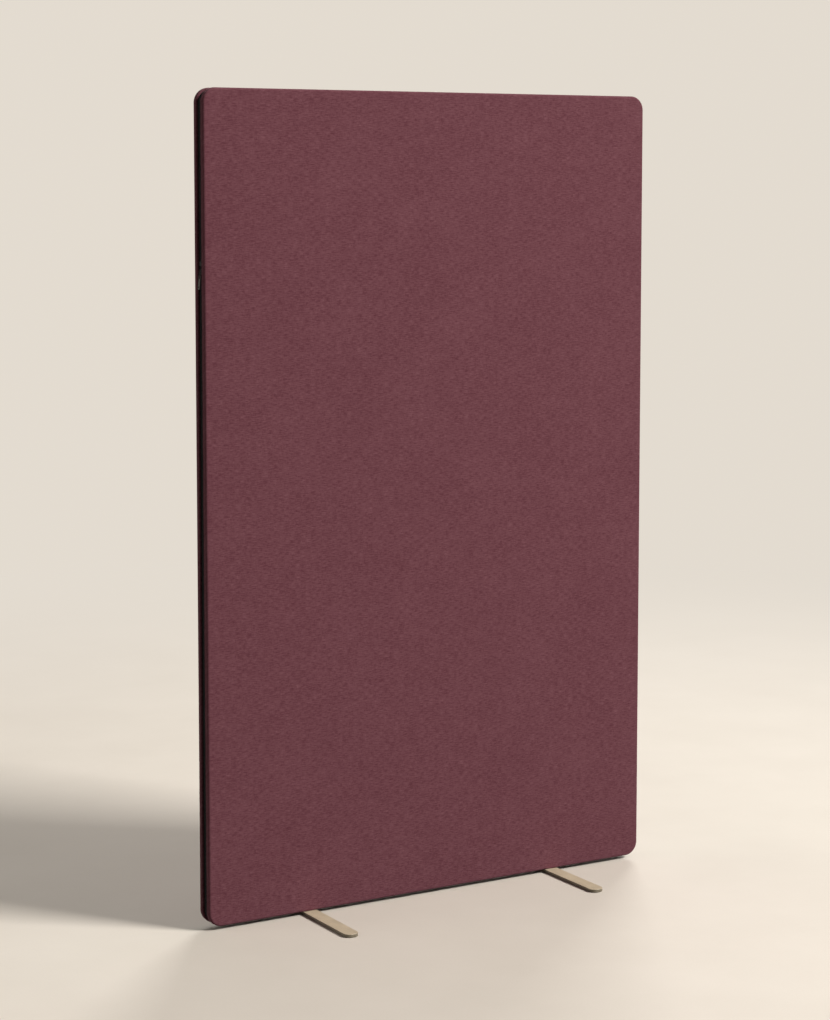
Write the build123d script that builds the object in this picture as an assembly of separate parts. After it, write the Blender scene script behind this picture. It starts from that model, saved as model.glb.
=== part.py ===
from build123d import *
import os
from math import cos, radians, tan

os.makedirs("parts", exist_ok=True)

# A free-standing acoustic screen: an upholstered panel, closed by a zip all round its
# edge, on two flat steel feet. Millimetres, +Z up, front towards -Y. The origin is on
# the floor, under the middle of the panel.

# Panel
panel_width = 1000.0
panel_height = 1583.0
panel_thickness = 42.0
corner_radius = 28.0
cover_edge_radius = 4.0
inner_bevel_share = 0.586

# Upholstery
cover_thickness = 1.2
felt_thickness = 3.3
lay_gap = 0.2

# Frame
rail_width = 40.0
dowel_radius = 4.0
dowel_length = 40.0
dowel_flutes = 12
dowel_spacing = 20.0
dowel_gap = 0.05
dowel_end_gap = 1.0
core_gap = 0.3

# Zip chain
zip_band_width = 18.0
tape_depth = 5.0
tape_thickness = 0.6
tape_outer = 12.5
chain_width = 6.6
chain_thickness = 2.4
chain_edge_bevel = 0.6
coil_gap = 0.1
parting_length = 7.5
parting_low = 3.0
parted_tape_gap = 0.05

# Slider
slider_height = 1246.0
slider_length = 13.5
slider_running_gap = 0.3
slider_flange = 0.9
slider_rim = 0.95
slider_corner_radius = 1.2
slider_neck_share = 0.25
slider_shoulder_share = 0.68
post_half_width = 1.1
post_tip = 0.6
post_corner_radius = 0.4
bridge_width = 2.4
bridge_thickness = 0.8
bridge_window_length = 6.2
bridge_window_bottom = 2.4
bridge_corner_radius = 1.0
rib_length = 0.8
rib_inset = 0.25

# Pull tab
tab_bar_radius = 0.7
tab_bar_gap = 0.2
tab_length = 27.5
tab_width = 8.0
tab_neck_width = 7.0
tab_thickness = 1.1
tab_window_length = 7.2
tab_lean = 5.5
tab_end_radius = 2.4
tab_hole_radius = 1.5
tab_hole_inset = 4.6
tab_side_gap = 0.4

# Ends of the chain
stop_length = 2.6
stop_wall = 0.5
stop_gap = 0.4
stop_fit_gap = 0.05
start_gap = 5.0
start_box_length = 8.5
start_box_width = 9.2
start_box_wall = 0.9
start_box_bevel = 1.0
start_box_floor = 1.8
start_pin_gap = 0.1

# Feet
foot_length = 380.0
foot_width = 30.0
foot_thickness = 6.0
foot_inset = 218.0
foot_end_radius = 13.0
foot_edge_bevel = 0.6
pad_length = 46.0
pad_width = 24.0
pad_thickness = 1.0
pad_inset = 9.0
pad_corner_bevel = 5.0

# Foot fasteners
screw_radius = 2.5
screw_head_radius = 4.6
screw_head_height = 2.5
screw_head_recess = 0.2
screw_length = 25.0
screw_offset = 10.5
screw_gap = 0.2
thread_gap = 0.05
socket_radius = 1.7
socket_depth = 1.6
spacer_radius = 4.0
insert_radius = 4.0
insert_length = 13.0
insert_ridges = 12
insert_gap = 0.05
insert_hole_extra = 3.0

cut_overrun = 2.0

# Derived sizes
panel_bottom = pad_thickness + foot_thickness
panel_top = panel_bottom + panel_height
panel_middle = (panel_bottom + panel_top) / 2
half_width = panel_width / 2
half_thickness = panel_thickness / 2
frame_half_depth = half_thickness - cover_thickness - felt_thickness
inner_edge_bevel = (cover_edge_radius - cover_thickness) * inner_bevel_share
frame_inset = tape_depth + tape_thickness / 2 + lay_gap
half_band = zip_band_width / 2
chain_x = -(half_width - tape_depth)
coil_width = (chain_width - coil_gap) / 2
coil_middle = (chain_width + coil_gap) / 4
tape_inner = chain_width / 2
foot_x = half_width - foot_inset
frame_bottom = panel_bottom + frame_inset
frame_top = panel_top - frame_inset
frame_side = half_width - frame_inset

# The slider clears the chain by its running gap, and its side walls the tape.
channel_half_height = chain_thickness / 2 + slider_running_gap
flange_outer = channel_half_height + slider_flange
tape_slot_half_height = tape_thickness / 2 + slider_running_gap
tail_channel = chain_width / 2 + slider_running_gap
head_channel = post_half_width + coil_width + 2 * slider_running_gap
tail_half_width = tail_channel + slider_rim
head_half_width = head_channel + slider_rim
groove_half_width = head_half_width + slider_running_gap
groove_depth = flange_outer + slider_running_gap - tape_thickness / 2 - lay_gap
slider_top = slider_length / 2
slider_tail = -slider_length / 2

# The tab hangs by its bar at the low end of the bridge's window.
pivot_out = flange_outer + slider_running_gap + tab_bar_radius
pivot_up = -bridge_window_bottom + tab_bar_radius + tab_bar_gap
bridge_inner = pivot_out + tab_bar_radius + tab_bar_gap
bridge_outer = bridge_inner + bridge_thickness
rib_up = slider_tail + rib_inset + rib_length / 2

stop_bottom = slider_top + stop_gap
start_box_bottom = stop_bottom + stop_length + start_gap
start_box_top = start_box_bottom + start_box_length
parted_inner = post_half_width + slider_running_gap
parted_outer = parted_inner + coil_width


def outline(inset):
    """The panel's outline, drawn in by an inset all round."""
    width = panel_width - 2 * inset
    height = panel_height - 2 * inset
    return RectangleRounded(width, height, corner_radius - inset)


def slab(inset, low_y, high_y):
    """A plate of the panel's outline that lies between two depths."""
    plane = Plane((0, high_y, panel_middle), x_dir=(1, 0, 0), z_dir=(0, -1, 0))
    return extrude(plane * outline(inset), amount=high_y - low_y)


def ring(outer_inset, inner_inset, low_y, high_y):
    """A band that runs round the panel's edge."""
    overrun = cut_overrun
    return slab(outer_inset, low_y, high_y) - slab(inner_inset, low_y - overrun, high_y + overrun)


def block(low, high):
    """A box between two corners."""
    size = [b - a for a, b in zip(low, high)]
    middle = [(a + b) / 2 for a, b in zip(low, high)]
    return Pos(*middle) * Box(*size)


def upright(x, y, low_z, high_z, radius):
    """A vertical cylinder between two heights."""
    return Pos(x, y, (low_z + high_z) / 2) * Cylinder(radius, high_z - low_z)


def to_rear(shape):
    """The mirror image of a front piece, on the rear side."""
    return mirror(shape, about=Plane.XZ)


def screw_places():
    """The four places where a screw passes through a foot."""
    return [(side * foot_x, depth * screw_offset) for side in (-1, 1) for depth in (-1, 1)]


def edges_at_depth(shape, y):
    """The edges that lie wholly at one depth."""
    return shape.edges().filter_by_position(Axis.Y, y, y)


# Upholstery


def spacer_holes():
    """The four punched holes for the spacers, joined as one cutter."""
    low_z = panel_bottom - cut_overrun
    section = RegularPolygon(spacer_radius + screw_gap, 6)
    holes = [extrude(Pos(x, y, low_z) * section, amount=frame_bottom - low_z) for x, y in screw_places()]
    return holes[0] + holes[1:]


def front_cover():
    """The fabric tray: face, wrap over the edge, and hem turned in beside the zip."""
    face_y = -half_thickness
    outer = slab(0, face_y, -half_band)
    outer = fillet(edges_at_depth(outer, face_y), cover_edge_radius)
    cavity_face = face_y + cover_thickness
    hem_y = -half_band - cover_thickness
    cavity = slab(cover_thickness, cavity_face, hem_y)
    cavity = chamfer(edges_at_depth(cavity, cavity_face), inner_edge_bevel)
    hem_depth = tape_depth - tape_thickness / 2 - lay_gap
    mouth = slab(hem_depth, hem_y - cut_overrun, -half_band + cut_overrun)
    return outer - cavity - mouth - spacer_holes()


def front_felt():
    """The felt sheet under the front cover."""
    face_y = -half_thickness + cover_thickness + lay_gap
    sheet = slab(cover_thickness + lay_gap, face_y, -frame_half_depth)
    return chamfer(edges_at_depth(sheet, face_y), inner_edge_bevel)


def front_edge_foam():
    """The strip that fills the wrap between the felt and the hem."""
    outer_inset = cover_thickness + lay_gap
    inner_inset = tape_depth - tape_thickness / 2 - lay_gap
    hem_y = -half_band - cover_thickness - lay_gap
    strip = ring(outer_inset, inner_inset, -frame_half_depth, hem_y)
    return strip - spacer_holes()


# Frame


def frame_body():
    """The whole wooden frame as one plate, with the groove that the slider runs in."""
    plate = slab(frame_inset, -frame_half_depth, frame_half_depth)
    groove_inset = frame_inset - cut_overrun
    groove_floor = frame_inset + groove_depth
    return plate - ring(groove_inset, groove_floor, -groove_half_width, groove_half_width)


def rail_levels():
    """The heights of the middles of the four rails, from the bottom up."""
    lowest = frame_bottom + rail_width / 2
    highest = frame_top - rail_width / 2
    pitch = (highest - lowest) / 3
    return [lowest + pitch * number for number in range(4)]


def dowel_places():
    """The middle of each dowel: two at each end of each rail."""
    joint_x = frame_side - rail_width
    places = []
    for level in rail_levels():
        for side in (-1, 1):
            for offset in (-1, 1):
                places.append((side * joint_x, 0, level + offset * dowel_spacing / 2))
    return places


def fluted_rods(radius, length):
    """A lying rod at each dowel's place, fluted along its length."""
    section = RegularPolygon(radius, dowel_flutes)
    rod = Rot(0, 90, 0) * extrude(section, amount=length / 2, both=True)
    return [Pos(*place) * rod for place in dowel_places()]


def frame_dowels():
    """The glued dowels of all the joints."""
    return Compound(children=fluted_rods(dowel_radius, dowel_length))


def dowel_holes():
    """The holes for the dowels, with the same flutes and room for glue."""
    holes = fluted_rods(dowel_radius + dowel_gap, dowel_length + 2 * dowel_end_gap)
    return holes[0] + holes[1:]


def insert_holes():
    """The holes in the bottom rail for the inserts and the screws' ends."""
    low = frame_bottom - cut_overrun
    top = frame_bottom + insert_length + insert_hole_extra
    holes = [upright(x, y, low, top, insert_radius + insert_gap) for x, y in screw_places()]
    return holes[0] + holes[1:]


def frame_members():
    """Stiles and rails, cut from the frame's plate."""
    plate = frame_body() - dowel_holes() - insert_holes()
    joint_x = frame_side - rail_width
    deep = frame_half_depth + cut_overrun
    low_z = frame_bottom - cut_overrun
    high_z = frame_top + cut_overrun
    outer_x = frame_side + cut_overrun
    members = {
        "left_stile": plate & block((-outer_x, -deep, low_z), (-joint_x, deep, high_z)),
        "right_stile": plate & block((joint_x, -deep, low_z), (outer_x, deep, high_z)),
    }
    names = ("bottom_rail", "lower_cross_rail", "upper_cross_rail", "top_rail")
    for name, level in zip(names, rail_levels()):
        low = (-joint_x, -deep, level - rail_width / 2)
        high = (joint_x, deep, level + rail_width / 2)
        members[name] = plate & block(low, high)
    return members


def cores():
    """The absorbers in the bays between the rails."""
    half = frame_side - rail_width - core_gap
    levels = rail_levels()
    parts = {}
    for name, below, above in zip(("lower_core", "middle_core", "upper_core"), levels, levels[1:]):
        low = (-half, -frame_half_depth, below + rail_width / 2 + core_gap)
        high = (half, frame_half_depth, above - rail_width / 2 - core_gap)
        parts[name] = block(low, high)
    return parts


# Zip chain


def front_zip_tape():
    """The woven tape that the front hem is sewn to."""
    outer_inset = tape_depth - tape_thickness / 2
    inner_inset = tape_depth + tape_thickness / 2
    tape = ring(outer_inset, inner_inset, -tape_outer, -tape_inner)
    parted = block(
        (-half_width, -parted_outer - parted_tape_gap, slider_height - parting_low),
        (chain_x + cut_overrun, 0, slider_height + start_box_top),
    )
    return tape - spacer_holes() - parted


def coil_section(y):
    """The coil's section at the left edge, where the chain runs upright."""
    section = Pos(chain_x, y) * Rectangle(chain_thickness, coil_width)
    return chamfer(section.vertices(), chain_edge_bevel)


def chain_loop(start_z, end_z):
    """The chain's line: down the left edge, and all the way round to its start."""
    side = half_width - tape_depth
    low = panel_bottom + tape_depth
    high = panel_top - tape_depth
    points = [(-side, start_z), (-side, low), (side, low), (side, high), (-side, high), (-side, end_z)]
    return Plane.XZ * FilletPolyline(*points, radius=corner_radius - tape_depth)


def front_zip_coil():
    """The front half of the chain, which parts from the other at the slider's post."""
    low_z = slider_height - parting_low
    high_z = low_z + parting_length
    middle_z = (low_z + high_z) / 2
    end_z = slider_height + stop_bottom + stop_length
    parted_y = -(parted_inner + parted_outer) / 2
    closed_section = Pos(0, 0, low_z) * coil_section(-coil_middle)
    parted_section = Pos(0, 0, high_z) * coil_section(parted_y)
    loop = sweep(closed_section, path=chain_loop(low_z, slider_height + start_box_top))
    bend = Bezier(
        (chain_x, -coil_middle, low_z),
        (chain_x, -coil_middle, middle_z),
        (chain_x, parted_y, middle_z),
        (chain_x, parted_y, high_z),
    )
    return loop + sweep(closed_section, path=bend) + extrude(parted_section, amount=end_z - high_z)


# Slider and tab. Both are drawn lying flat and then stood on the left edge: drawing X
# runs across the chain, drawing Y up it, and drawing Z out of the panel.


def edge_plane():
    """The chain's middle plane at the slider, facing out of the left edge."""
    return Plane((chain_x, 0, slider_height), x_dir=(0, -1, 0), z_dir=(-1, 0, 0))


def mirrored_outline(points):
    """A closed outline from the points of its right half, from the bottom up."""
    left = [(-x, y) for x, y in reversed(points) if x != 0]
    return Polyline(*points, *left, close=True)


def slider_outline(tail, head, overrun):
    """The slider's plan: narrow at its tail, widening to the shoulders at its head."""
    neck = slider_tail + slider_length * slider_neck_share
    shoulder = slider_tail + slider_length * slider_shoulder_share
    points = [
        (tail, slider_tail - overrun),
        (tail, neck),
        (head, shoulder),
        (head, slider_top + overrun),
    ]
    return make_face(mirrored_outline(points))


def slider_flanges():
    """The two plates, with the channel for the chain and slots for the tape between."""
    plan = slider_outline(tail_half_width, head_half_width, 0)
    plan = fillet(plan.vertices(), slider_corner_radius)
    channel = slider_outline(tail_channel, head_channel, cut_overrun)
    solid = extrude(plan, amount=flange_outer, both=True)
    hollow = extrude(channel, amount=channel_half_height, both=True)
    tape_slot = extrude(
        Rectangle(2 * (head_half_width + cut_overrun), slider_length + 2 * cut_overrun),
        amount=tape_slot_half_height,
        both=True,
    )
    return solid - hollow - tape_slot


def slider_post():
    """The divider between the two ways into the channel, pointed towards the tail."""
    wide_from = (post_tip + slider_top) / 2
    points = [(0, post_tip), (post_half_width, wide_from), (post_half_width, slider_top - slider_corner_radius)]
    plan = make_face(mirrored_outline(points))
    plan = fillet(plan.vertices().sort_by(Axis.Y)[1:], post_corner_radius)
    return extrude(plan, amount=channel_half_height, both=True)


def slider_bridge():
    """The arch over the outer flange that holds the tab's bar."""
    window_low = -bridge_window_bottom
    window_high = window_low + bridge_window_length
    low = window_low - bridge_thickness
    high = window_high + bridge_thickness
    seat = flange_outer - slider_flange / 2
    profile = Plane.YZ * make_face(
        Polyline((low, seat), (high, seat), (high, bridge_outer), (low, bridge_outer), close=True)
    )
    arch = extrude(profile, amount=bridge_width / 2, both=True)
    arch = fillet(arch.edges().filter_by(Axis.X).group_by(Axis.Z)[-1], bridge_corner_radius)
    window = Pos(0, (window_low + window_high) / 2, (flange_outer + bridge_inner) / 2) * Box(
        bridge_width + 2 * cut_overrun, bridge_window_length, bridge_inner - flange_outer
    )
    return arch - window


def slider_rib():
    """The rib across the tail that the hanging tab leans on."""
    back = tab_thickness / 2 / cos(radians(tab_lean))
    top = pivot_out - back + (pivot_up - rib_up) * tan(radians(tab_lean)) - tab_bar_gap / 2
    low = flange_outer - slider_flange / 2
    rib = Pos(0, rib_up, (low + top) / 2) * Box(tab_neck_width, rib_length, top - low)
    return fillet(rib.edges().filter_by(Axis.X).group_by(Axis.Z)[-1], rib_length / 4)


def zip_slider_body():
    """The slider as one casting."""
    body = slider_flanges() + slider_post() + slider_bridge() + slider_rib()
    return edge_plane() * body


def zip_pull_tab():
    """The tab: a bar in the bridge, two arms beside it, and the grip."""
    window_half = bridge_width / 2 + tab_side_gap
    points = [
        (tab_neck_width / 2, 0),
        (tab_neck_width / 2, -tab_window_length),
        (tab_width / 2, -tab_length),
    ]
    plan = make_face(mirrored_outline(points))
    plan = fillet(plan.vertices().group_by(Axis.Y)[0], tab_end_radius)
    window = Pos(0, -tab_window_length / 2) * Rectangle(2 * window_half, tab_window_length)
    grip_hole = Pos(0, -tab_length + tab_hole_inset) * Circle(tab_hole_radius)
    plate = extrude(plan - window - grip_hole, amount=tab_thickness / 2, both=True)
    bar = Rot(0, 90, 0) * Cylinder(tab_bar_radius, tab_neck_width)
    tab = Rot(-tab_lean, 0, 0) * (plate + bar)
    return edge_plane() * Pos(0, pivot_up, pivot_out) * tab


# Ends of the chain


def zip_end_stops():
    """A clamp on the end of each coil, open towards the tape."""
    half_height = chain_thickness / 2 + stop_fit_gap + stop_wall
    low = parted_inner - stop_wall - stop_fit_gap
    middle_y = stop_bottom + stop_length / 2
    clamps = []
    for side in (-1, 1):
        middle_x = side * (low + parted_outer) / 2
        clamp = Pos(middle_x, middle_y, 0) * Box(parted_outer - low, stop_length, 2 * half_height)
        clamp = chamfer(clamp.edges().filter_by(Axis.Y), stop_wall / 2)
        bore = Pos(middle_x + side * stop_wall, middle_y, 0) * Box(
            parted_outer - low, stop_length + 2 * cut_overrun, chain_thickness + 2 * stop_fit_gap
        )
        clamps.append(clamp - bore)
    return edge_plane() * Compound(children=clamps)


def zip_start_box():
    """The socket at the start of the chain, open towards the chain on its rear half."""
    half_height = channel_half_height + start_box_wall
    middle = (start_box_bottom + start_box_top) / 2
    box = Pos(0, middle, 0) * Box(start_box_width, start_box_length, 2 * half_height)
    box = chamfer(box.edges().filter_by(Axis.Z), start_box_bevel)
    box = chamfer(box.edges().group_by(Axis.Z)[-1], start_box_bevel / 2)
    socket = Pos(-coil_middle, middle + start_box_floor, 0) * Box(
        coil_width + 2 * start_pin_gap, start_box_length, chain_thickness + 2 * start_pin_gap
    )
    return edge_plane() * (box - socket)


def zip_start_pin():
    """The pin at the start of the rear coil, in the start box."""
    low = start_box_bottom + start_box_floor + start_pin_gap
    middle = (low + start_box_top) / 2
    pin = Pos(-coil_middle, middle, 0) * Box(coil_width, start_box_top - low, chain_thickness)
    return edge_plane() * chamfer(pin.edges().filter_by(Axis.Y), chain_edge_bevel)


# Feet


def foot(side):
    """One flat bar, countersunk from below for its two screws."""
    plan = RectangleRounded(foot_width, foot_length, foot_end_radius)
    bar = extrude(Pos(side * foot_x, 0, pad_thickness) * plan, amount=foot_thickness)
    bar = chamfer(bar.edges().group_by(Axis.Z)[-1], foot_edge_bevel)
    head_z = pad_thickness + screw_head_recess
    for depth in (-1, 1):
        y = depth * screw_offset
        bar -= upright(side * foot_x, y, pad_thickness - cut_overrun, head_z, screw_head_radius + screw_gap)
        bar -= Pos(side * foot_x, y, head_z + screw_head_height / 2) * Cone(
            screw_head_radius + screw_gap, screw_radius + screw_gap, screw_head_height
        )
        bar -= upright(side * foot_x, y, head_z, panel_bottom + cut_overrun, screw_radius + screw_gap)
    return bar


def foot_pads():
    """A thin pad under each end of each foot."""
    pads = []
    for side in (-1, 1):
        for end in (-1, 1):
            y = end * (foot_length / 2 - pad_inset - pad_length / 2)
            plan = chamfer(Rectangle(pad_width, pad_length).vertices(), pad_corner_bevel)
            pads.append(extrude(Pos(side * foot_x, y, 0) * plan, amount=pad_thickness))
    return Compound(children=pads)


def foot_screws():
    """Countersunk socket screws, from under the feet into the inserts."""
    head_z = pad_thickness + screw_head_recess
    screws = []
    for x, y in screw_places():
        head = Pos(x, y, head_z + screw_head_height / 2) * Cone(
            screw_head_radius, screw_radius, screw_head_height
        )
        shank = upright(x, y, head_z + screw_head_height, head_z + screw_length, screw_radius)
        socket = extrude(Pos(x, y, head_z) * RegularPolygon(socket_radius, 6), amount=socket_depth)
        screws.append(head + shank - socket)
    return Compound(children=screws)


def sleeves(low_z, high_z, section, bore_radius):
    """A sleeve of a given outer section about each screw."""
    parts = []
    for x, y in screw_places():
        bore = upright(x, y, low_z - cut_overrun, high_z + cut_overrun, bore_radius)
        parts.append(extrude(Pos(x, y, low_z) * section, amount=high_z - low_z) - bore)
    return Compound(children=parts)


def foot_spacers():
    """The hexagonal spacers between each foot and the bottom rail."""
    section = RegularPolygon(spacer_radius, 6)
    return sleeves(panel_bottom, frame_bottom, section, screw_radius + screw_gap)


def foot_inserts():
    """The threaded inserts in the bottom rail, ridged outside to hold in the wood."""
    section = RegularPolygon(insert_radius, insert_ridges)
    return sleeves(frame_bottom, frame_bottom + insert_length, section, screw_radius + thread_gap)


def all_parts():
    """Every sub-part by its node's name."""
    parts = {
        "front_cover": front_cover(),
        "front_felt": front_felt(),
        "front_edge_foam": front_edge_foam(),
        "front_zip_tape": front_zip_tape(),
        "front_zip_coil": front_zip_coil(),
    }
    for name in list(parts):
        parts[name.replace("front", "rear")] = to_rear(parts[name])
    parts.update(frame_members())
    parts.update(cores())
    parts["frame_dowels"] = frame_dowels()
    parts["zip_slider_body"] = zip_slider_body()
    parts["zip_pull_tab"] = zip_pull_tab()
    parts["zip_end_stops"] = zip_end_stops()
    parts["zip_start_box"] = zip_start_box()
    parts["zip_start_pin"] = zip_start_pin()
    parts["left_foot"] = foot(-1)
    parts["right_foot"] = foot(1)
    parts["foot_pads"] = foot_pads()
    parts["foot_screws"] = foot_screws()
    parts["foot_spacers"] = foot_spacers()
    parts["foot_inserts"] = foot_inserts()
    return parts


for node, shape in all_parts().items():
    export_step(shape, f"parts/{node}.step")
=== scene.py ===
import math

import bmesh
import bpy
import numpy as np
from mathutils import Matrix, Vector


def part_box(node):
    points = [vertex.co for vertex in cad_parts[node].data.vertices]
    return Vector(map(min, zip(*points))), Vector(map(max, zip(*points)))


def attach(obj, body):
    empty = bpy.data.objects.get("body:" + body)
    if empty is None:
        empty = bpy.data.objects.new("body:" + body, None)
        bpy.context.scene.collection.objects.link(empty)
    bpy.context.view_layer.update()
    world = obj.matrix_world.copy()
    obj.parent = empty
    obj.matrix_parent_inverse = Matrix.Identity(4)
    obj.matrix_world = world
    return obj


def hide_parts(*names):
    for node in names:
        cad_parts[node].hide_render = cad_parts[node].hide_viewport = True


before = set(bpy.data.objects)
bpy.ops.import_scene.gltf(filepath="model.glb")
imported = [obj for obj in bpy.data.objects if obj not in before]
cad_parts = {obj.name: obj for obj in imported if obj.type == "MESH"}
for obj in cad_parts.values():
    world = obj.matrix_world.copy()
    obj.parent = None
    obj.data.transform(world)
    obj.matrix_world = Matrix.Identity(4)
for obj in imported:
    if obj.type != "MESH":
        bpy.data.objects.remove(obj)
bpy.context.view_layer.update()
MM = 0.001

# The panel, read from the frame
cover_low, cover_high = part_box("front_cover")
tape_low, tape_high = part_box("front_zip_tape")
foot_low, foot_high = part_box("right_foot")
slider_low, slider_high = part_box("zip_slider_body")
stops_low, stops_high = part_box("zip_end_stops")
start_low, start_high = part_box("zip_start_box")
half_width = cover_high.x
panel_bottom = cover_low.z
panel_top = cover_high.z
panel_middle = (panel_bottom + panel_top) / 2
half_height = (panel_top - panel_bottom) / 2
half_thickness = -cover_low.y
half_band = -cover_high.y
foot_x = (foot_low.x + foot_high.x) / 2
corner_radius = 28 * MM

# Cover
cloth_thickness = 0.9 * MM
rim_radius = 4 * MM
hem_fold_radius = 0.55 * MM
hem_depth = 4.3 * MM
outline_step = 12 * MM
corner_steps = 36
fold_steps = 4
wrap_point_shares = (0.25, 0.5, 0.75)
rim_steps = 6
face_insets = (6 * MM, 9 * MM, 13 * MM)
face_rings = 34
merge_distance = 0.02 * MM

# The cloth's small unevenness. Waves are in radians per metre, across and up the panel.
face_wave_height = 0.28 * MM
edge_pucker = 0.16 * MM
corner_gather = 0.32 * MM
gathers_per_corner = 7
calm_rim = 60 * MM
fine_wave_share = 0.6
face_waves = (13.1, 9.7)
face_bend_wave = 4.3
face_bend = 2.0
fine_face_waves = (31.0, 23.0)
fine_bend_wave = 9.0
fine_bend = 1.3
edge_waves = (61.0, 47.0)
fine_edge_waves = (143.0, 127.0)
rear_seed = 1.7

# Stitches. The shares are of a stitch's length and of its thread's radius, from end to end.
stitch_pitch = 3.4 * MM
stitch_length = 2.7 * MM
stitch_radius = 0.27 * MM
stitch_from_hem = 2.1 * MM
stitch_free_of_screw = 7 * MM
stitch_sides = 6
stitch_point_shares = np.array([0.0, 0.14, 0.5, 0.86, 1.0])
stitch_height_shares = np.array([-0.9, 0.25, 0.55, 0.25, -0.9])
stitch_width_shares = np.array([0.55, 0.95, 1.0, 0.95, 0.55])
bottom_normal = -0.9

# Zip tapes
chain_inset = 5 * MM
tape_inner = 1.25 * MM
tape_hem_gap = 0.05 * MM
tape_half_thickness = 0.3 * MM
tape_step = 6 * MM
tape_ribs = 3
tape_rib_share = 0.28
points_across_tape = 13
end_step = 0.8 * MM
end_stretch = 42 * MM
tapes_meet = 0.12 * MM

# Zip coils. One turn goes out over the front, round the head in the middle, and back underneath.
chain_half_width = -tape_high.y
coil_pitch = 2.0 * MM
coil_wire_radius = 0.36 * MM
coil_wire_sides = 4
coil_half_depth = 1.15 * MM
coil_mesh = 0.22 * MM
turn_across_shares = np.array([0.0, 0.45, 0.85, 1.0, 1.0, 0.8, 0.3, 0.0])
turn_depth_shares = np.array([0.55, 1.0, 1.0, 0.5, -0.5, -1.0, -1.0, -0.5])
turn_along_shares = np.array([0.0, 0.02, 0.04, 0.08, 0.2, 0.45, 0.75, 0.94])
coil_stop_share = 0.4
parted_shift = 1.4 * MM
parting_length = 7.5 * MM
parting_low = 3 * MM

# Weave and thread
yarn_pitch = 1.35 * MM
yarn_wander = 0.6 * MM
thread_twist_pitch = 0.5 * MM
thread_slant = 2.5
tape_rib_pitch = 0.8 * MM
herringbone_width = 1.2 * MM

# The ranges that most values of a noise, and all of a wave, lie in
noise_range = (0.35, 0.65)
wide_noise_range = (0.3, 0.7)
wave_range = (-1, 1)

# Colours, in linear light
wool = np.array((0.180, 0.068, 0.085))
pale_fibre = np.array((0.176, 0.095, 0.106))
fibre_shares = (-0.36, -0.18, 0.0, 0.38)
wool_thread = (0.155, 0.054, 0.070)
tape_dark = (0.006, 0.006, 0.0065)
tape_light = (0.022, 0.022, 0.023)
coil_black = (0.014, 0.014, 0.015)
felt_grey = (0.3, 0.29, 0.28)
foam_grey = (0.35, 0.35, 0.34)
board_grey = (0.4, 0.4, 0.36)
softwood = (0.55, 0.38, 0.22)
beech = (0.6, 0.44, 0.28)
black_paint = (0.014, 0.014, 0.015)
black_plastic = (0.013, 0.013, 0.014)
black_rubber = (0.03, 0.03, 0.03)
dark_steel = (0.044, 0.042, 0.039)
zinc = (0.45, 0.45, 0.46)
brass = (0.6, 0.45, 0.2)
bronze_paint = (0.63, 0.54, 0.385)
floor_dark = (0.69, 0.635, 0.56)
floor_light = (0.74, 0.685, 0.61)
floor_bounce = (0.20, 0.18, 0.16)
background_colour = (0.77, 0.71, 0.63)
ambient_colour = (1.0, 0.96, 0.91)
key_colour = (1.0, 0.97, 0.93)
fill_colour = (1.0, 0.98, 0.95)

# Floor and light
floor_radius = 14.0
floor_rings = 12
floor_spokes = 64
fade_starts = 1.0
fade_ends = 4.2
ambient_level = 0.10

# Camera, at the photograph's viewpoint, with angles in degrees
camera_place = (-2.4747, -4.0629, 1.4185)
camera_heading = -31.016
camera_dip = 5.367
camera_lens = 85.546
camera_shift_x = -0.0005
camera_shift_y = -0.0995
camera_reach = 60


# Outline of the panel


def edge_outline(step):
    """The panel's outline: core points, and outward normals. A point at an inset lies
    on its core's normal, as far out as the corner's radius less the inset."""
    core_x = half_width - corner_radius
    core_z = half_height - corner_radius
    turn = np.linspace(0, math.pi / 2, corner_steps + 1)
    cores = []
    normals = []
    corners = [(-1, -1, math.pi), (1, -1, 1.5 * math.pi), (1, 1, 0.0), (-1, 1, 0.5 * math.pi)]
    for number, (side_x, side_z, start) in enumerate(corners):
        for angle in start + turn:
            cores.append((side_x * core_x, side_z * core_z))
            normals.append((math.cos(angle), math.sin(angle)))
        next_x, next_z, _ = corners[(number + 1) % len(corners)]
        length = 2 * (core_x if next_x != side_x else core_z)
        count = round(length / step)
        for share in np.arange(1, count) / count:
            core = (
                (side_x + (next_x - side_x) * share) * core_x,
                (side_z + (next_z - side_z) * share) * core_z,
            )
            cores.append(core)
            normals.append(normals[-1])
    cores = np.array(cores) + (0, panel_middle)
    return cores, np.array(normals)


def at_inset(outline, inset):
    """The outline's points, drawn in by an inset."""
    cores, normals = outline
    return cores + normals * (corner_radius - inset)


# Meshes


def mesh_object(name, points, faces):
    """A new smooth object from points and faces."""
    mesh = bpy.data.meshes.new(name)
    mesh.from_pydata(np.asarray(points).tolist(), [], faces)
    mesh.validate()
    mesh.polygons.foreach_set("use_smooth", [True] * len(mesh.polygons))
    obj = bpy.data.objects.new(name, mesh)
    bpy.context.scene.collection.objects.link(obj)
    return obj


def merge_points(obj):
    """Joins points that lie together, such as where a face's last ring meets itself."""
    mesh = bmesh.new()
    mesh.from_mesh(obj.data)
    bmesh.ops.remove_doubles(mesh, verts=mesh.verts, dist=merge_distance)
    bmesh.ops.dissolve_degenerate(mesh, edges=mesh.edges, dist=merge_distance)
    mesh.to_mesh(obj.data)
    mesh.free()


def ring_faces(rings, count, closed):
    """Quads between neighbouring rings of count points each."""
    faces = []
    for ring in range(rings if closed else rings - 1):
        low = ring * count
        high = ((ring + 1) % rings) * count
        for number in range(count):
            after = (number + 1) % count
            faces.append((low + number, low + after, high + after, high + number))
    return faces


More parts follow.
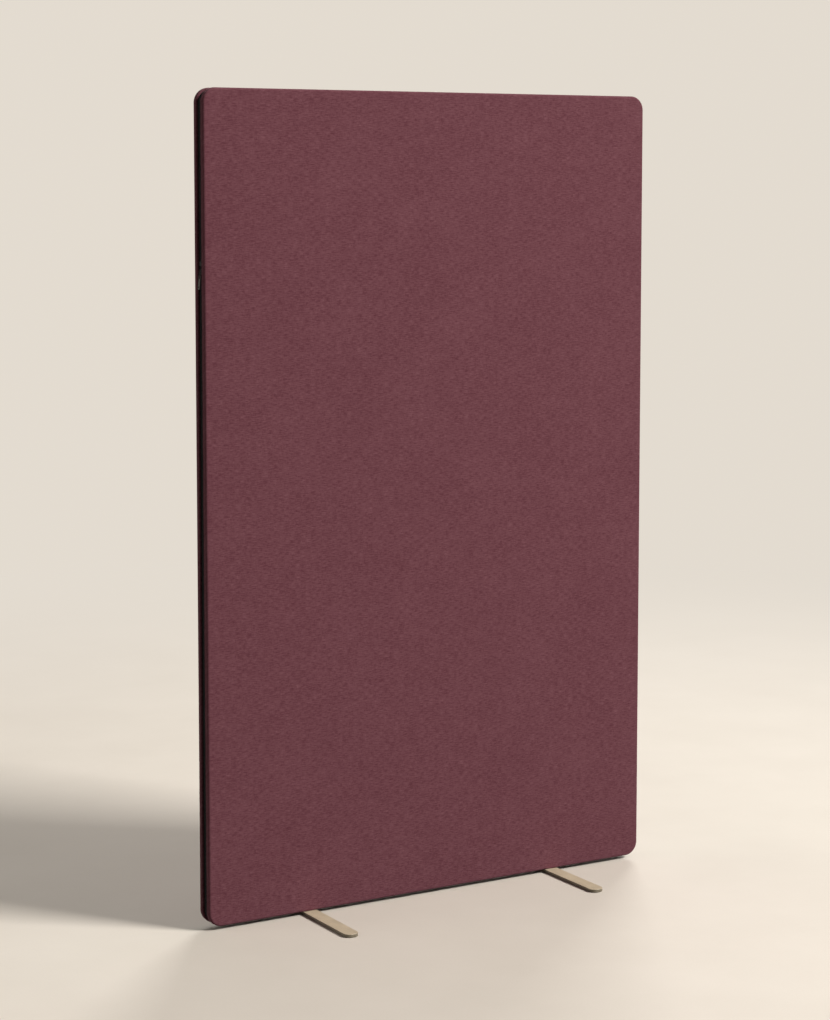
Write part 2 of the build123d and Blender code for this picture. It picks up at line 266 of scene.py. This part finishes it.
def tube_points(line, first, second, radius, sides):
    """Rings of a round tube about a line of points, given two directions across it at each point."""
    angles = np.arange(sides) * 2 * math.pi / sides
    along_first = np.cos(angles)[None, :, None] * first[:, None, :]
    along_second = np.sin(angles)[None, :, None] * second[:, None, :]
    return line[:, None, :] + (along_first + along_second) * np.asarray(radius)[..., None, None]


def tube_faces(start, rings, sides):
    """The sides and both ends of a tube whose rings of points follow one another from a point."""
    faces = []
    for ring in range(rings - 1):
        low = start + ring * sides
        high = low + sides
        for corner in range(sides):
            after = (corner + 1) % sides
            faces.append((low + corner, low + after, high + after, high + corner))
    last = start + (rings - 1) * sides
    faces.append(tuple(start + corner for corner in range(sides))[::-1])
    faces.append(tuple(last + corner for corner in range(sides)))
    return faces


def standing(flat, depth):
    """Points in space from points in the panel's plane and their depths."""
    return np.column_stack([flat[:, 0], depth, flat[:, 1]])


# Covers


def cover_profile():
    """The cloth's middle line from hem to face, as pairs of inset and distance from the panel's middle."""
    half = cloth_thickness / 2
    hem_y = half_band + half
    fold = hem_fold_radius
    points = [(hem_depth, hem_y), ((hem_depth + half + fold) / 2, hem_y)]
    for angle in np.linspace(0, math.pi / 2, fold_steps + 1):
        points.append((half + fold * (1 - math.sin(angle)), hem_y + fold * (1 - math.cos(angle))))
    rim = rim_radius - half
    rim_y = half_thickness - half - rim
    for share in wrap_point_shares:
        points.append((half, hem_y + fold + (rim_y - hem_y - fold) * share))
    for angle in np.linspace(0, math.pi / 2, rim_steps + 1):
        points.append((half + rim * (1 - math.cos(angle)), rim_y + rim * math.sin(angle)))
    for inset in face_insets:
        points.append((inset, half_thickness - half))
    return points


def cover_rings(outline):
    """Rings of points from the hem to the face's middle, and how far each belongs to the wrap."""
    count = len(outline[0])
    rings = []
    wrap_shares = []
    for inset, depth in cover_profile():
        rings.append(standing(at_inset(outline, inset), np.full(count, depth)))
        wrap_share = 1 - (depth - half_band) / (half_thickness - half_band)
        wrap_shares.append(max(0.0, min(1.0, wrap_share)))
    # From there the rings shrink onto an upright line in the middle of the face.
    start = rings[-1]
    line_bottom = panel_middle - half_height + half_width
    line_top = panel_middle + half_height - half_width
    line_z = np.clip(start[:, 2], line_bottom, line_top)
    target = np.column_stack([np.zeros(count), start[:, 1], line_z])
    for number in range(1, face_rings + 1):
        share = 1 - number / face_rings
        rings.append(target + (start - target) * share)
        wrap_shares.append(0.0)
    return rings, wrap_shares


def face_unevenness(x, z, seed):
    """The shallow waves of the face, from -1 to 1."""
    bend = face_bend * np.sin(z * face_bend_wave + seed)
    waves = np.sin(x * face_waves[0] + bend) * np.sin(z * face_waves[1] + seed)
    bend = fine_bend * np.sin(x * fine_bend_wave)
    fine = np.sin(x * fine_face_waves[0] + seed * 2.0) * np.sin(z * fine_face_waves[1] + bend)
    return (waves + fine_wave_share * fine) / (1 + fine_wave_share)


def edge_unevenness(x, z, seed):
    """How far the wrap puckers along the edge and gathers at the corners."""
    waves = np.sin(x * edge_waves[0] + z * edge_waves[1] + seed)
    fine = np.sin(x * fine_edge_waves[0] + z * fine_edge_waves[1])
    pucker = (waves + fine_wave_share * fine) / (1 + fine_wave_share)
    corner_x = np.abs(x) - (half_width - corner_radius)
    corner_z = np.abs(z - panel_middle) - (half_height - corner_radius)
    angle = np.arctan2(np.maximum(corner_z, 0), np.maximum(corner_x, 0))
    gather = np.sin(angle * 4 * gathers_per_corner + seed) * np.sin(2 * angle) ** 2
    gather = np.where((corner_x > 0) & (corner_z > 0), gather, 0.0)
    return pucker * edge_pucker + gather * corner_gather


def cover_mesh(name, side, seed):
    """One cover: hem, wrap, soft rim and face as one sheet. The side is -1 in front."""
    outline = edge_outline(outline_step)
    count = len(outline[0])
    rings, wrap_shares = cover_rings(outline)
    points = np.concatenate(rings)
    wrap = np.repeat(wrap_shares, count)
    x, _, z = points.T
    from_edge = np.minimum(half_width - np.abs(x), half_height - np.abs(z - panel_middle))
    lift = face_unevenness(x, z, seed) * face_wave_height * (1 - wrap) * np.clip(from_edge / calm_rim, 0, 1)
    push = edge_unevenness(x, z, seed) * wrap
    normals = np.tile(outline[1], (len(rings), 1))
    points[:, 1] += lift
    points[:, 0] += normals[:, 0] * push
    points[:, 2] += normals[:, 1] * push
    points[:, 1] *= side
    faces = ring_faces(len(rings), count, closed=False)
    if side > 0:
        faces = [face[::-1] for face in faces]
    obj = mesh_object(name, points, faces)
    merge_points(obj)
    thicken = obj.modifiers.new("cloth", "SOLIDIFY")
    thicken.thickness = cloth_thickness
    thicken.offset = 0
    return obj


# Stitches and chain follow the edge by its running length


class EdgeLine:
    """A line round the panel's edge at an inset: from a height on the left edge up and round,
    and back to another height there."""

    def __init__(self, inset, start_z, end_z):
        self.radius = corner_radius - inset
        core_x = half_width - corner_radius
        core_z = half_height - corner_radius
        top = panel_middle + core_z
        bottom = panel_middle - core_z
        arc = math.pi / 2 * self.radius
        self.runs = [
            ("line", top - start_z, (-core_x, start_z), (0, 1), math.pi),
            ("arc", arc, (-core_x, top), None, math.pi),
            ("line", 2 * core_x, (-core_x, top), (1, 0), 0.5 * math.pi),
            ("arc", arc, (core_x, top), None, 0.5 * math.pi),
            ("line", 2 * core_z, (core_x, top), (0, -1), 0.0),
            ("arc", arc, (core_x, bottom), None, 0.0),
            ("line", 2 * core_x, (core_x, bottom), (-1, 0), -0.5 * math.pi),
            ("arc", arc, (-core_x, bottom), None, -0.5 * math.pi),
            ("line", end_z - bottom, (-core_x, bottom), (0, 1), math.pi),
        ]
        self.length = sum(run[1] for run in self.runs)

    def at(self, distances):
        """Places, outward normals and directions at distances along the line."""
        distances = np.asarray(distances, float)
        places = np.zeros((len(distances), 2))
        normals = np.zeros((len(distances), 2))
        begin = 0.0
        for number, (kind, length, start, along, angle) in enumerate(self.runs):
            last = number == len(self.runs) - 1
            inside = (distances >= begin) & ((distances < begin + length) | last)
            run = distances[inside] - begin
            if kind == "line":
                normal = np.tile((math.cos(angle), math.sin(angle)), (len(run), 1))
                core = np.array(start) + run[:, None] * np.array(along)
            else:
                turned = angle - run / self.radius
                normal = np.column_stack([np.cos(turned), np.sin(turned)])
                core = np.tile(start, (len(run), 1))
            normals[inside] = normal
            places[inside] = core + normal * self.radius
            begin += length
        directions = np.column_stack([normals[:, 1], -normals[:, 0]])
        return places, normals, directions


def stitch_starts(line):
    """Where the stitches start along a line: none lies beside a foot's screws."""
    count = int(line.length / stitch_pitch)
    starts = np.arange(count) * line.length / count
    places, normals, _ = line.at(starts)
    from_foot = np.abs(np.abs(places[:, 0]) - foot_x)
    return starts[(normals[:, 1] > bottom_normal) | (from_foot > stitch_free_of_screw)]


def stitch_rows(name, side):
    """The thread that shows along a hem, one small arch for each stitch."""
    line = EdgeLine(0, panel_middle, panel_middle)
    starts = stitch_starts(line)
    count = len(starts)
    distances = starts[:, None] + stitch_point_shares[None, :] * stitch_length
    places, normals, _ = line.at(distances.ravel() % line.length)
    y = np.full(len(places), side * (half_band + stitch_from_hem))
    out = standing(normals, np.zeros(len(places)))
    heights = np.tile(stitch_height_shares * stitch_radius, count)
    points = standing(places, y) + out * heights[:, None]
    across = np.tile((0.0, 1.0, 0.0), (len(places), 1))
    widths = np.tile(stitch_width_shares * stitch_radius, count)
    rings = tube_points(points, out, across, widths, stitch_sides)
    rings_each = len(stitch_point_shares)
    faces = []
    for number in range(count):
        faces += tube_faces(number * rings_each * stitch_sides, rings_each, stitch_sides)
    return mesh_object(name, rings.reshape(-1, 3), faces)


def tape_line():
    """The tape's line, once round the edge from the start box."""
    return EdgeLine(chain_inset, start_high.z, start_high.z)


def zip_tape(name, side):
    """The woven tape beside the chain, thickest at its ribs. Its ends close in where no chain lies."""
    line = tape_line()
    ends = line.length - end_stretch
    distances = np.concatenate([np.arange(0, ends, tape_step), np.arange(ends, line.length, end_step)])
    places, normals, _ = line.at(distances)
    outer = -tape_low.y - tape_hem_gap
    inner = np.full(len(distances), tape_inner)
    past_stops = np.clip((places[:, 1] - stops_high.z) / (start_low.z - stops_high.z), 0, 1)
    inner += (tapes_meet - inner) * past_stops * (distances > ends)
    across_shares = np.linspace(0, 1, points_across_tape)
    ribs = 1 - tape_rib_share + tape_rib_share * np.cos(across_shares * 2 * math.pi * tape_ribs) ** 2
    rings = []
    for way in (1, -1):
        for share, rib in list(zip(across_shares, ribs))[::way]:
            y = inner + (outer - inner) * share
            depth = way * tape_half_thickness * rib
            rings.append(standing(places + normals * depth, side * y))
    return mesh_object(name, np.concatenate(rings), ring_faces(len(rings), len(distances), closed=True))


def parting(z):
    """How far the chain's half stands aside at a height on the left edge beside and above the slider."""
    slider_middle = (slider_low.z + slider_high.z) / 2
    share = np.clip((z - (slider_middle - parting_low)) / parting_length, 0, 1)
    return parted_shift * share * share * (3 - 2 * share)


def zip_coil(name, side):
    """One half of the chain: a flattened coil whose turns reach past the middle, between those
    of the other half."""
    end_z = stops_low.z + coil_stop_share * (stops_high.z - stops_low.z)
    line = EdgeLine(chain_inset, start_low.z, end_z)
    turns = int(line.length / coil_pitch)
    offset = 0.0 if side < 0 else 0.5
    distances = (np.arange(turns)[:, None] + offset + turn_along_shares[None, :]).ravel() * coil_pitch
    distances = np.minimum(distances, line.length)
    places, normals, along = line.at(distances)
    low = chain_half_width - coil_wire_radius
    high = -coil_mesh + coil_wire_radius
    on_left_edge = np.isclose(normals[:, 0], -1) & (distances > line.length / 2)
    shift = np.where(on_left_edge, parting(places[:, 1]), 0)
    y = np.tile(low + (high - low) * turn_across_shares, turns) + shift
    depth = np.tile(turn_depth_shares, turns) * (coil_half_depth - coil_wire_radius)
    points = standing(places + normals * depth[:, None], side * y)
    tangent = np.gradient(points, axis=0)
    tangent /= np.linalg.norm(tangent, axis=1)[:, None]
    lengthwise = standing(along, np.zeros(len(along)))
    first = lengthwise - tangent * np.sum(lengthwise * tangent, axis=1)[:, None]
    first /= np.linalg.norm(first, axis=1)[:, None]
    second = np.cross(tangent, first)
    rings = tube_points(points, first, second, np.full(len(points), coil_wire_radius), coil_wire_sides)
    return mesh_object(name, rings.reshape(-1, 3), tube_faces(0, len(points), coil_wire_sides))


# Materials


class Nodes:
    """A short way to write a material's nodes."""

    def __init__(self, name):
        self.material = bpy.data.materials.new(name)
        self.material.use_nodes = True
        self.tree = self.material.node_tree
        self.tree.nodes.clear()
        self.shader = self.new("BsdfPrincipled")
        self.output = self.new("OutputMaterial")
        self.link(self.shader.outputs["BSDF"], self.output.inputs["Surface"])

    def new(self, kind):
        return self.tree.nodes.new("ShaderNode" + kind)

    def link(self, source, target):
        self.tree.links.new(source, target)

    def put(self, socket, value):
        """Sets a socket to a value or links it."""
        if isinstance(value, bpy.types.NodeSocket):
            self.link(value, socket)
        else:
            socket.default_value = value

    def math(self, operation, first, second=0.0):
        node = self.new("Math")
        node.operation = operation
        self.put(node.inputs[0], first)
        self.put(node.inputs[1], second)
        return node.outputs[0]

    def times(self, value, factor):
        return self.math("MULTIPLY", value, factor)

    def plus(self, first, second):
        return self.math("ADD", first, second)

    def weighted(self, *pairs):
        """The sum of values, each times its weight."""
        parts = [self.times(value, weight) for value, weight in pairs]
        total = parts[0]
        for part in parts[1:]:
            total = self.plus(total, part)
        return total

    def wave(self, value, pitch):
        """A sine along a value, from -1 to 1."""
        return self.math("SINE", self.times(value, 2 * math.pi / pitch))

    def spread(self, value, old, new):
        """Maps one range of a value to another."""
        node = self.new("MapRange")
        self.put(node.inputs["Value"], value)
        for name, number in zip(("From Min", "From Max", "To Min", "To Max"), (*old, *new)):
            node.inputs[name].default_value = number
        return node.outputs["Result"]

    def coordinates(self):
        """The object's coordinates as three numbers."""
        coordinates = self.new("TexCoord")
        split = self.new("SeparateXYZ")
        self.link(coordinates.outputs["Object"], split.inputs[0])
        return split.outputs[0], split.outputs[1], split.outputs[2]

    def vector(self, x, y, z):
        node = self.new("CombineXYZ")
        for socket, value in zip(node.inputs, (x, y, z)):
            self.put(socket, value)
        return node.outputs[0]

    def stretched(self, across, up, shares, layer):
        """Flat coordinates times a share each way, so that a noise on them is drawn out where the
        share is small. The layer keeps it from repeating another noise."""
        return self.vector(self.times(across, shares[0]), self.times(up, shares[1]), layer)

    def noise(self, vector, scale, detail=2.0, roughness=0.5):
        node = self.new("TexNoise")
        self.put(node.inputs["Vector"], vector)
        node.inputs["Scale"].default_value = scale
        node.inputs["Detail"].default_value = detail
        node.inputs["Roughness"].default_value = roughness
        return node.outputs["Fac"]

    def levelness(self):
        """1 on faces that look straight up or down, and 0 on upright ones."""
        geometry = self.new("NewGeometry")
        split = self.new("SeparateXYZ")
        self.link(geometry.outputs["Normal"], split.inputs[0])
        return self.math("ABSOLUTE", split.outputs[2])

    def ramp(self, value, stops):
        """A colour for a value, from pairs of position and colour."""
        node = self.new("ValToRGB")
        elements = node.color_ramp.elements
        while len(elements) < len(stops):
            elements.new(0.5)
        for element, (position, colour) in zip(elements, stops):
            element.position = position
            element.color = (*colour, 1)
        self.put(node.inputs["Fac"], value)
        return node.outputs["Color"]

    def dim(self, colour, share):
        """A colour, darkened to a share of itself."""
        node = self.new("VectorMath")
        node.operation = "SCALE"
        self.link(colour, node.inputs[0])
        self.put(node.inputs["Scale"], share)
        return node.outputs[0]

    def bump(self, height, distance, strength=1.0):
        node = self.new("Bump")
        node.inputs["Distance"].default_value = distance
        node.inputs["Strength"].default_value = strength
        self.put(node.inputs["Height"], height)
        return node.outputs["Normal"]

    def finish(self, **values):
        """Sets the shader's sockets by name and returns the material."""
        for name, value in values.items():
            self.put(self.shader.inputs[name.replace("_", " ").title().replace("Ior", "IOR")], value)
        return self.material


def two_shades(colour, darker, lighter):
    """A darker and a lighter version of a colour."""
    return [tuple(min(1.0, channel * factor) for channel in colour) for factor in (darker, lighter)]


def cover_fabric():
    """Burgundy wool: a faint weave under fibres of four shades, most of which lie across the panel."""
    n = Nodes("cover_fabric")
    x, y, z = n.coordinates()
    across = n.plus(x, y)
    up = n.plus(z, y)
    flat = n.vector(across, up, 0.0)
    wander = n.spread(n.noise(flat, scale=90.0), wide_noise_range, (-yarn_wander, yarn_wander))
    weft = n.wave(n.plus(across, wander), yarn_pitch)
    warp = n.wave(n.plus(up, wander), yarn_pitch)
    weave = n.times(weft, warp)
    lying_fibres = n.stretched(across, up, shares=(0.14, 1.0), layer=0.3)
    upright_fibres = n.stretched(across, up, shares=(1.0, 0.2), layer=0.7)
    lying_patches = n.stretched(across, up, shares=(0.6, 1.0), layer=0.5)
    streaks = n.noise(lying_fibres, scale=620.0, detail=3.0, roughness=0.6)
    cords = n.noise(upright_fibres, scale=560.0, detail=3.0, roughness=0.6)
    mottle = n.noise(flat, scale=190.0, detail=3.0, roughness=0.65)
    patches = n.noise(lying_patches, scale=75.0)
    broad = n.noise(flat, scale=7.0)
    fuzz = n.noise(flat, scale=2600.0)
    tone = n.weighted(
        (streaks, 0.53), (cords, 0.16), (mottle, 0.15), (patches, 0.10), (broad, 0.06), (weave, 0.05)
    )
    deep, shade, middle, light = [tuple(wool + share * pale_fibre) for share in fibre_shares]
    height = n.weighted((weave, 1.0), (mottle, 1.6), (streaks, 1.2), (fuzz, 0.5))
    return n.finish(
        base_color=n.ramp(tone, [(0.36, deep), (0.45, shade), (0.53, middle), (0.64, light)]),
        roughness=0.95,
        specular_ior_level=0.04,
        sheen_weight=0.16,
        sheen_roughness=0.45,
        sheen_tint=(0.9, 0.62, 0.66, 1),
        normal=n.bump(height, distance=0.10 * MM, strength=0.8),
    )


def sewing_thread():
    """Twisted sewing thread in the cover's colour."""
    n = Nodes("thread")
    x, y, z = n.coordinates()
    run = n.plus(n.plus(x, z), n.times(y, thread_slant))
    twist = n.wave(run, thread_twist_pitch)
    shade, light = two_shades(wool_thread, darker=0.7, lighter=1.25)
    return n.finish(
        base_color=n.ramp(n.spread(twist, wave_range, (0, 1)), [(0.2, shade), (0.8, light)]),
        roughness=0.6,
        sheen_weight=0.2,
        normal=n.bump(twist, distance=0.05 * MM),
    )


def zip_tape_cloth():
    """Black herringbone tape."""
    n = Nodes("zip_tape_cloth")
    x, y, z = n.coordinates()
    zigzag = n.math("PINGPONG", y, herringbone_width)
    rib = n.wave(n.plus(n.plus(x, z), zigzag), tape_rib_pitch)
    grain = n.noise(n.vector(x, y, z), scale=1500.0)
    tone = n.weighted((n.spread(rib, wave_range, (0.2, 0.7)), 1.0), (grain, 0.3))
    return n.finish(
        base_color=n.ramp(tone, [(0.2, tape_dark), (0.9, tape_light)]),
        roughness=0.9,
        specular_ior_level=0.06,
        sheen_weight=0.06,
        normal=n.bump(rib, distance=0.06 * MM),
    )


def speckled(name, colour, darker, lighter, scale, roughness, bump=0.02 * MM, specular=0.5):
    """A finish with a fine even grain in colour, gloss and height, over wider clouds."""
    grains_per_cloud = 14
    gloss_play = 0.06
    n = Nodes(name)
    place = n.vector(*n.coordinates())
    grain = n.noise(place, scale, detail=3.0, roughness=0.6)
    wide = n.noise(place, scale / grains_per_cloud)
    tone = n.weighted((grain, 0.6), (wide, 0.4))
    dark, light = two_shades(colour, darker, lighter)
    return n.finish(
        base_color=n.ramp(tone, [(0.36, dark), (0.64, light)]),
        roughness=n.spread(tone, noise_range, (roughness - gloss_play, roughness + gloss_play)),
        specular_ior_level=specular,
        normal=n.bump(grain, bump),
    )


def brushed(name, colour, stretch, roughness, metallic=1.0, painted_shade_share=1.0):
    """Metal brushed along one direction, given as a stretch of its coordinates. Its upright
    sides may get painted shade, which keeps only a share of their brightness."""
    painted_shade_span = (0.15, 0.95)
    polish = 0.05
    wear = 0.07
    n = Nodes(name)
    place = n.coordinates()
    lines = n.vector(*[n.times(axis, factor) for axis, factor in zip(place, stretch)])
    hair = n.noise(lines, scale=1400.0, detail=3.0, roughness=0.65)
    smears = n.noise(n.vector(*place), scale=28.0, detail=3.0, roughness=0.6)
    tone = n.weighted((hair, 0.62), (smears, 0.38))
    dark, light = two_shades(colour, darker=0.85, lighter=1.12)
    base = n.ramp(tone, [(0.36, dark), (0.64, light)])
    # Painted shade: upright sides are darkened to a share of their colour, and level faces keep it all.
    if painted_shade_share < 1:
        base = n.dim(base, n.spread(n.levelness(), painted_shade_span, (painted_shade_share, 1.0)))
    return n.finish(
        base_color=base,
        metallic=metallic,
        roughness=n.spread(tone, noise_range, (roughness - polish, roughness + wear)),
        normal=n.bump(hair, distance=0.012 * MM),
    )


def wood(name, colour, along):
    """Planed wood, its grain along one axis (0 for x, 2 for z)."""
    lengthwise_share = 0.04
    ring_waves = 46.0
    n = Nodes(name)
    place = list(n.coordinates())
    place[along] = n.times(place[along], lengthwise_share)
    grain = n.noise(n.vector(*place), scale=130.0, detail=4.0, roughness=0.55)
    rings = n.math("SINE", n.times(grain, ring_waves))
    fibre = n.noise(n.vector(*place), scale=1900.0)
    tone = n.weighted((n.spread(rings, wave_range, (0.2, 0.6)), 1.0), (fibre, 0.35))
    dark, light = two_shades(colour, darker=0.72, lighter=1.18)
    return n.finish(
        base_color=n.ramp(tone, [(0.2, dark), (0.85, light)]),
        roughness=n.spread(fibre, wide_noise_range, (0.5, 0.7)),
        normal=n.bump(tone, distance=0.05 * MM),
    )


def coil_nylon():
    """The coils' smooth black nylon."""
    return speckled(
        "zip_coil_nylon", coil_black, darker=0.8, lighter=1.3, scale=900.0, roughness=0.38, specular=0.2
    )


def pressed_felt():
    """The felt under the covers."""
    return speckled(
        "pressed_felt",
        felt_grey,
        darker=0.7,
        lighter=1.3,
        scale=700.0,
        roughness=0.95,
        bump=0.1 * MM,
        specular=0.2,
    )


def edge_foam():
    """The foam strips beside the zip."""
    return speckled(
        "edge_foam",
        foam_grey,
        darker=0.8,
        lighter=1.15,
        scale=1500.0,
        roughness=0.9,
        bump=0.1 * MM,
        specular=0.2,
    )


def absorber():
    """The fibre boards in the frame."""
    return speckled(
        "absorber",
        board_grey,
        darker=0.75,
        lighter=1.25,
        scale=500.0,
        roughness=0.95,
        bump=0.12 * MM,
        specular=0.2,
    )


def black_casting(name):
    """Black paint on cast metal."""
    return speckled(
        name, black_paint, darker=0.7, lighter=1.5, scale=1200.0, roughness=0.55, specular=0.12
    )


def start_plastic():
    """The moulded start box and pin."""
    return speckled(
        "start_plastic", black_plastic, darker=0.8, lighter=1.3, scale=900.0, roughness=0.5, specular=0.12
    )


def pad_rubber():
    """The pads under the feet."""
    return speckled("pad_rubber", black_rubber, darker=0.8, lighter=1.3, scale=800.0, roughness=0.8)


def tab_metal():
    """The pull tab's dark steel, brushed upwards."""
    return brushed("tab_metal", dark_steel, stretch=(1, 1, 0.03), roughness=0.40)


def turned_metal(name, colour):
    """Screws, spacers and inserts."""
    return brushed(name, colour, stretch=(1, 1, 0.2), roughness=0.35)


def foot_steel():
    """The feet's bronze paint, rubbed along their length, with painted shade that darkens their upright
    sides.
    """
    return brushed(
        "foot_steel", bronze_paint, stretch=(1, 0.03, 1), roughness=0.42, metallic=0.05, painted_shade_share=0.4
    )


# Pieces


def add_piece(obj, material, slot, *nodes):
    """Gives a piece its material and body, and hides the solids that it stands for."""
    obj.data.materials.append(material)
    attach(obj, "screen")
    if nodes:
        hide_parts(*nodes)


def dress_half(word, side, seed, fabric, yarn, tape, nylon):
    """The modelled cover, stitches, tape and coil of the front or the rear."""
    cover = cover_mesh(f"{word}_cover_cloth", side, seed)
    add_piece(cover, fabric, "cover_fabric", f"{word}_cover")
    stitches = stitch_rows(f"{word}_hem_stitches", side)
    add_piece(stitches, yarn, "cover_fabric")
    band = zip_tape(f"{word}_zip_tape_cloth", side)
    add_piece(band, tape, "zip_tape", f"{word}_zip_tape")
    band_size = (-tape_low.y - tape_inner, tape_line().length)
    chain = zip_coil(f"{word}_zip_coil_turns", side)
    add_piece(chain, nylon, "zip_coil", f"{word}_zip_coil")


def finish_solids():
    """Gives every solid that stays its finish, found by a word in its node's name."""
    finishes = {
        "felt": pressed_felt(),
        "edge_foam": edge_foam(),
        "stile": wood("stile_wood", softwood, along=2),
        "rail": wood("rail_wood", softwood, along=0),
        "dowels": wood("dowel_wood", beech, along=0),
        "core": absorber(),
        "slider_body": black_casting("slider_metal"),
        "end_stops": black_casting("stop_metal"),
        "pull_tab": tab_metal(),
        "start": start_plastic(),
        "foot_pads": pad_rubber(),
        "foot_screws": turned_metal("screw_steel", zinc),
        "foot_spacers": turned_metal("spacer_steel", zinc),
        "foot_inserts": turned_metal("insert_brass", brass),
        "_foot": foot_steel(),
    }
    for node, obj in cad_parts.items():
        if obj.hide_render:
            continue
        finish = next(finishes[word] for word in finishes if word in node)
        obj.data.materials.clear()
        obj.data.materials.append(finish)


# Floor, light and camera


def seen_rays(tree):
    """1 for rays from the camera, from gloss or through glass, and 0 for light."""
    path = tree.nodes.new("ShaderNodeLightPath")
    total = path.outputs["Is Camera Ray"]
    for name in ("Is Glossy Ray", "Is Transmission Ray"):
        add = tree.nodes.new("ShaderNodeMath")
        add.operation = "MAXIMUM"
        tree.links.new(total, add.inputs[0])
        tree.links.new(path.outputs[name], add.inputs[1])
        total = add.outputs[0]
    return total


def floor_material():
    """A pale matt floor that passes into the background's colour with distance."""
    n = Nodes("floor")
    place = n.vector(*n.coordinates())
    cloud = n.noise(place, scale=3.0, detail=4.0, roughness=0.6)
    grain = n.noise(place, scale=240.0)
    pale = n.ramp(n.weighted((cloud, 0.7), (grain, 0.3)), [(0.3, floor_dark), (0.7, floor_light)])
    seen = seen_rays(n.tree)
    # Light bounces off a darker floor than the one that is seen. A mix node's colours are its
    # sockets 6 and 7, and their mix is its output 2.
    colour = n.new("Mix")
    colour.data_type = "RGBA"
    n.link(seen, colour.inputs["Factor"])
    colour.inputs[6].default_value = (*floor_bounce, 1)
    n.link(pale, colour.inputs[7])
    n.finish(base_color=colour.outputs[2], roughness=0.85)
    length = n.new("VectorMath")
    length.operation = "LENGTH"
    n.link(place, length.inputs[0])
    far = n.spread(length.outputs["Value"], (fade_starts, fade_ends), (0, 1))
    far.node.interpolation_type = "SMOOTHSTEP"
    glow = n.new("Emission")
    glow.inputs["Color"].default_value = (*background_colour, 1)
    mix = n.new("MixShader")
    n.link(n.times(far, seen), mix.inputs[0])
    n.link(n.shader.outputs[0], mix.inputs[1])
    n.link(glow.outputs[0], mix.inputs[2])
    n.link(mix.outputs[0], n.output.inputs["Surface"])
    return n.material


def floor():
    """A round floor under the screen."""
    points = [(0.0, 0.0, 0.0)]
    for ring in range(1, floor_rings + 1):
        for spoke in range(floor_spokes):
            angle = 2 * math.pi * spoke / floor_spokes
            far = floor_radius * ring / floor_rings
            points.append((far * math.cos(angle), far * math.sin(angle), 0.0))
    faces = [(0, 1 + spoke, 1 + (spoke + 1) % floor_spokes) for spoke in range(floor_spokes)]
    for ring in range(floor_rings - 1):
        low = 1 + ring * floor_spokes
        high = low + floor_spokes
        for spoke in range(floor_spokes):
            after = (spoke + 1) % floor_spokes
            faces.append((low + spoke, high + spoke, high + after, low + after))
    obj = mesh_object("floor", points, faces)
    obj.data.materials.append(floor_material())


def surroundings():
    """A pale background to look at, and a soft even light from all round."""
    world = bpy.data.worlds.new("surroundings")
    bpy.context.scene.world = world
    world.use_nodes = True
    tree = world.node_tree
    tree.nodes.clear()
    seen = tree.nodes.new("ShaderNodeBackground")
    seen.inputs["Color"].default_value = (*background_colour, 1)
    light = tree.nodes.new("ShaderNodeBackground")
    light.inputs["Color"].default_value = (*ambient_colour, 1)
    light.inputs["Strength"].default_value = ambient_level
    mix = tree.nodes.new("ShaderNodeMixShader")
    output = tree.nodes.new("ShaderNodeOutputWorld")
    tree.links.new(seen_rays(tree), mix.inputs[0])
    tree.links.new(light.outputs[0], mix.inputs[1])
    tree.links.new(seen.outputs[0], mix.inputs[2])
    tree.links.new(mix.outputs[0], output.inputs["Surface"])


def softbox(name, place, size, level, colour):
    """A square lamp aimed at the panel, whose power lights a white surface there to a level."""
    lamp = bpy.data.lights.new(name, "AREA")
    lamp.shape = "SQUARE"
    lamp.size = size
    lamp.color = colour
    aim = Vector((0, 0, panel_middle))
    reach = aim - Vector(place)
    lamp.energy = level * math.pi**2 * reach.length_squared
    obj = bpy.data.objects.new(name, lamp)
    obj.location = place
    obj.rotation_euler = reach.to_track_quat("-Z", "Y").to_euler()
    obj.visible_camera = False
    bpy.context.scene.collection.objects.link(obj)


def camera():
    """The photograph's viewpoint: it looks slightly down, and its picture is shifted by the rest."""
    data = bpy.data.cameras.new("camera")
    data.lens = camera_lens
    data.shift_x = camera_shift_x
    data.shift_y = camera_shift_y
    data.clip_end = camera_reach
    obj = bpy.data.objects.new("camera", data)
    obj.location = camera_place
    obj.rotation_euler = (math.radians(90 - camera_dip), 0, math.radians(camera_heading))
    bpy.context.scene.collection.objects.link(obj)
    bpy.context.scene.camera = obj


# Build

shared_finishes = (cover_fabric(), sewing_thread(), zip_tape_cloth(), coil_nylon())
dress_half("front", -1, 0.0, *shared_finishes)
dress_half("rear", 1, rear_seed, *shared_finishes)
finish_solids()
floor()
surroundings()
softbox("key", place=(7.3, -8.4, 9.4), size=3.9, level=1.17, colour=key_colour)
softbox("top", place=(2.0, -0.4, 7.5), size=4.0, level=0.08, colour=fill_colour)
softbox("rear", place=(13.0, 14.5, 8.0), size=7.0, level=0.58, colour=fill_colour)
softbox("left", place=(-12.0, 5.0, 6.5), size=5.0, level=0.10, colour=fill_colour)
camera()
bpy.context.scene.view_settings.view_transform = "Standard"
